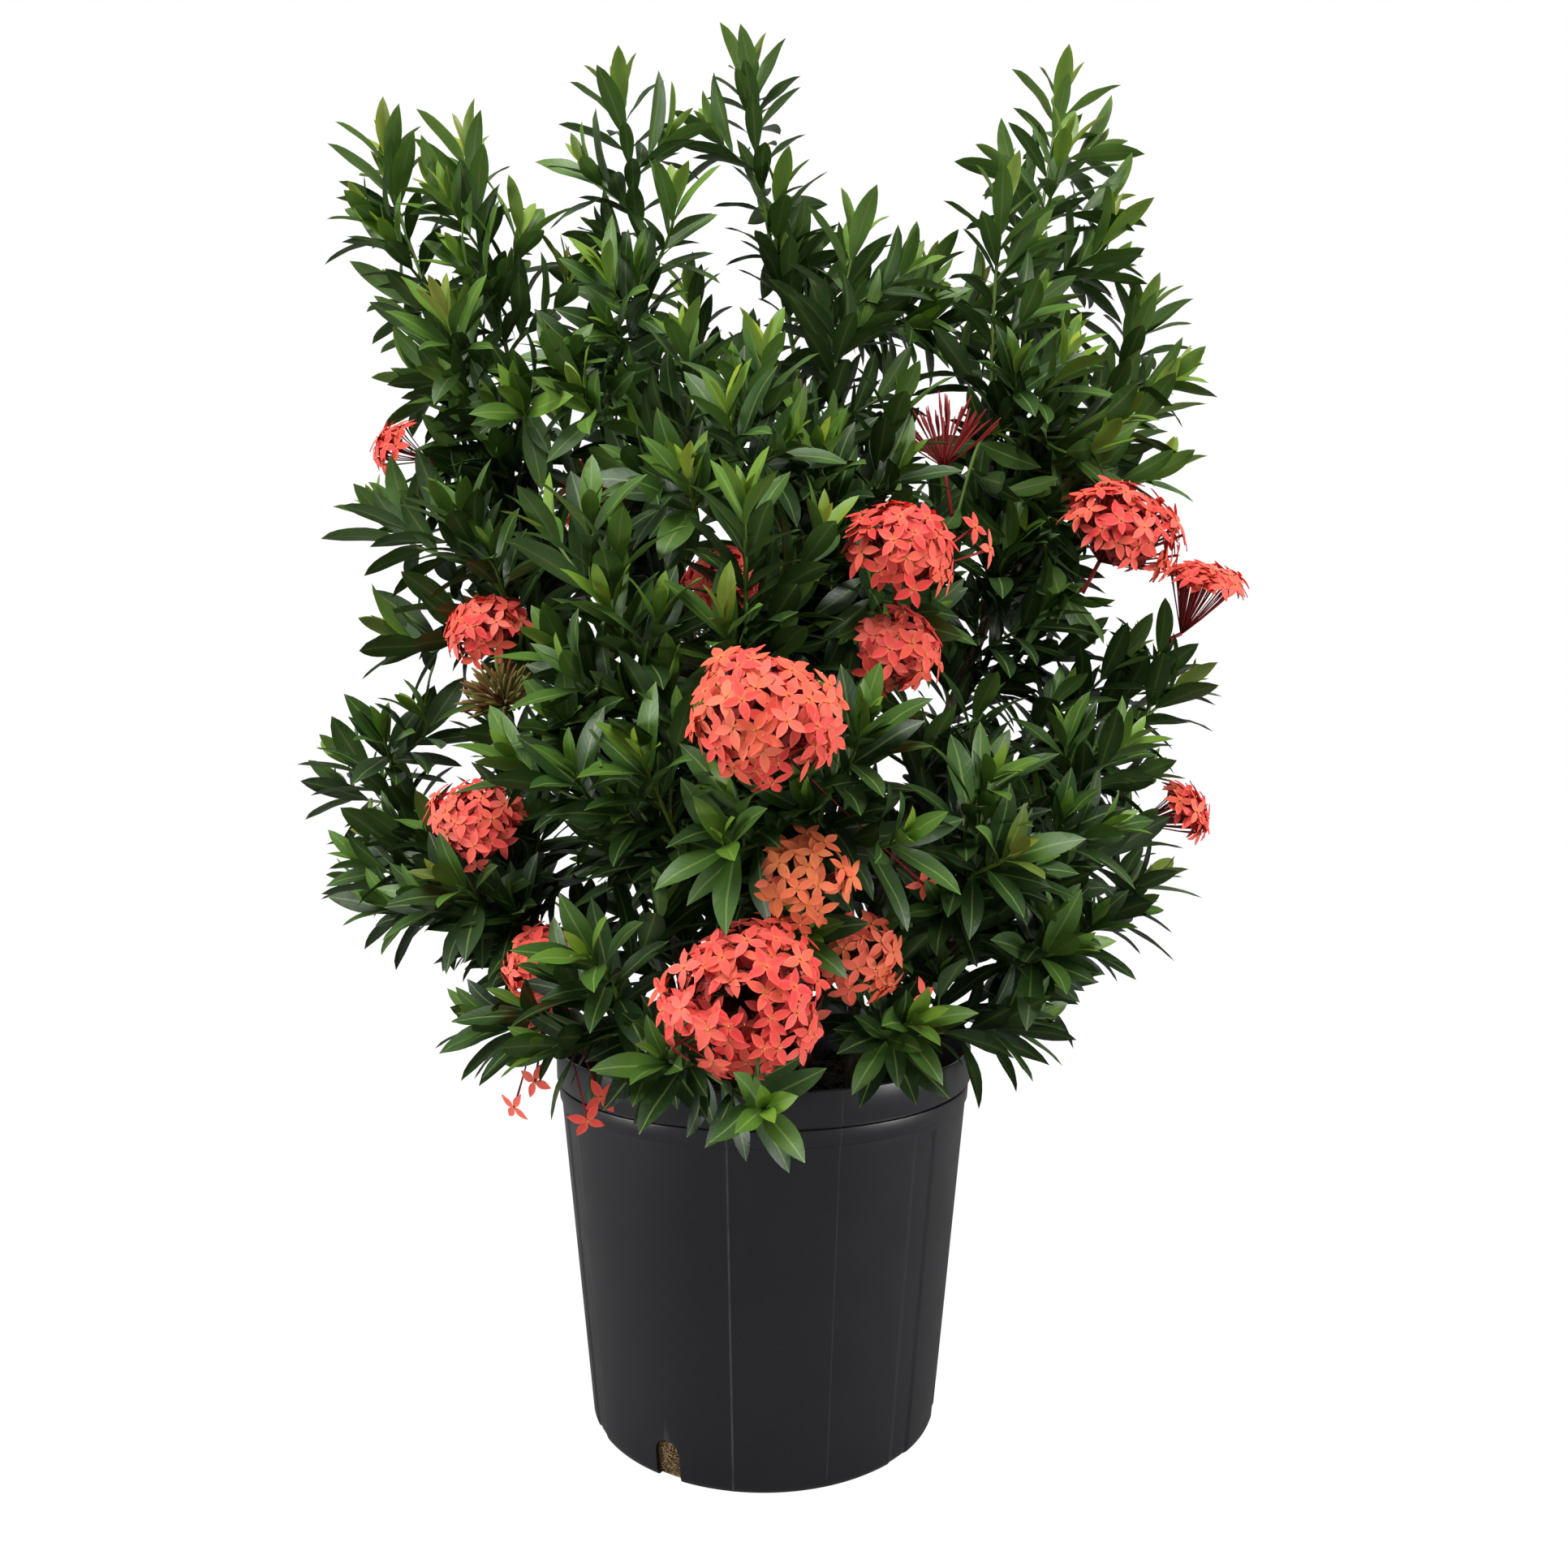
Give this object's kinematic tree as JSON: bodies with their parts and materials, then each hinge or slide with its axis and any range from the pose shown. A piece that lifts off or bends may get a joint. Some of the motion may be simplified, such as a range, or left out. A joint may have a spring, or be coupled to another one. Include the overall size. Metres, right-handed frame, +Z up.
{
  "type": "potted ixora plant",
  "caption": "Bushy flowering ixora with glossy green leaves and domed coral-red flower heads, in a tapered black plastic nursery pot filled with potting mix.",
  "frame": {"origin": "centre of the pot's underside, on the floor", "axes": "+Z up along the pot's axis; the side seen in the picture faces -Y; +X is to the right seen from that side"},
  "size_m": [0.6309, 0.5294, 0.9477],
  "materials": {
    "pot_plastic": "black injection-moulded plastic with a satin sheen",
    "potting_mix": "dark brown bark and fibre mix",
    "woody_stem": "grey-brown bark",
    "leaf_green": "smooth waxy leaf",
    "coral_petal": "soft matte petals",
    "red_bud": "smooth dark red buds",
    "spent_flower": "dry brown flower stalks"
  },
  "bodies": {
    "root": {"bud_cluster_left": "red_bud", "bud_cluster_right": "red_bud", "flower_head_back_left": "coral_petal", "flower_head_back_right": "coral_petal", "flower_head_bottom": "coral_petal", "flower_head_centre": "coral_petal", "flower_head_far_left": "coral_petal", "flower_head_left_low": "coral_petal", "flower_head_left_small": "coral_petal", "flower_head_low_left": "coral_petal", "flower_head_low_right": "coral_petal", "flower_head_orange": "coral_petal", "flower_head_right_globe": "coral_petal", "flower_head_right_side": "coral_petal", "flower_head_right_spray": "coral_petal", "flower_head_shaded": "coral_petal", "flower_head_tucked": "coral_petal", "flower_head_upper_right": "coral_petal", "leafy_shoot_back_high": "leaf_green", "leafy_shoot_back_left": "leaf_green", "leafy_shoot_back_low_left": "leaf_green", "leafy_shoot_back_low_right": "leaf_green", "leafy_shoot_back_mid": "leaf_green", "leafy_shoot_back_right": "leaf_green", "leafy_shoot_far_left": "leaf_green", "leafy_shoot_front_centre": "leaf_green", "leafy_shoot_front_centre_left": "leaf_green", "leafy_shoot_front_left": "leaf_green", "leafy_shoot_front_low_left": "leaf_green", "leafy_shoot_front_mid": "leaf_green", "leafy_shoot_front_right": "leaf_green", "leafy_shoot_left_arm": "leaf_green", "leafy_shoot_left_crown": "leaf_green", "leafy_shoot_left_far": "leaf_green", "leafy_shoot_left_shoulder": "leaf_green", "leafy_shoot_left_tall": "leaf_green", "leafy_shoot_mid_front": "leaf_green", "leafy_shoot_mid_high": "leaf_green", "leafy_shoot_mid_left": "leaf_green", "leafy_shoot_mid_right": "leaf_green", "leafy_shoot_mid_tall": "leaf_green", "leafy_shoot_right_crown": "leaf_green", "leafy_shoot_right_far": "leaf_green", "leafy_shoot_right_front": "leaf_green", "leafy_shoot_right_low": "leaf_green", "leafy_shoot_right_outer": "leaf_green", "leafy_shoot_right_tall": "leaf_green", "leafy_shoot_rim_right": "leaf_green", "pot": "pot_plastic", "potting_mix": "potting_mix", "spent_head": "spent_flower", "woody_stem_back": "woody_stem", "woody_stem_centre": "woody_stem", "woody_stem_centre_left": "woody_stem", "woody_stem_centre_right": "woody_stem", "woody_stem_front": "woody_stem", "woody_stem_left": "woody_stem", "woody_stem_left_low": "woody_stem", "woody_stem_right": "woody_stem", "woody_stem_right_low": "woody_stem"}
  },
  "joints": []
}
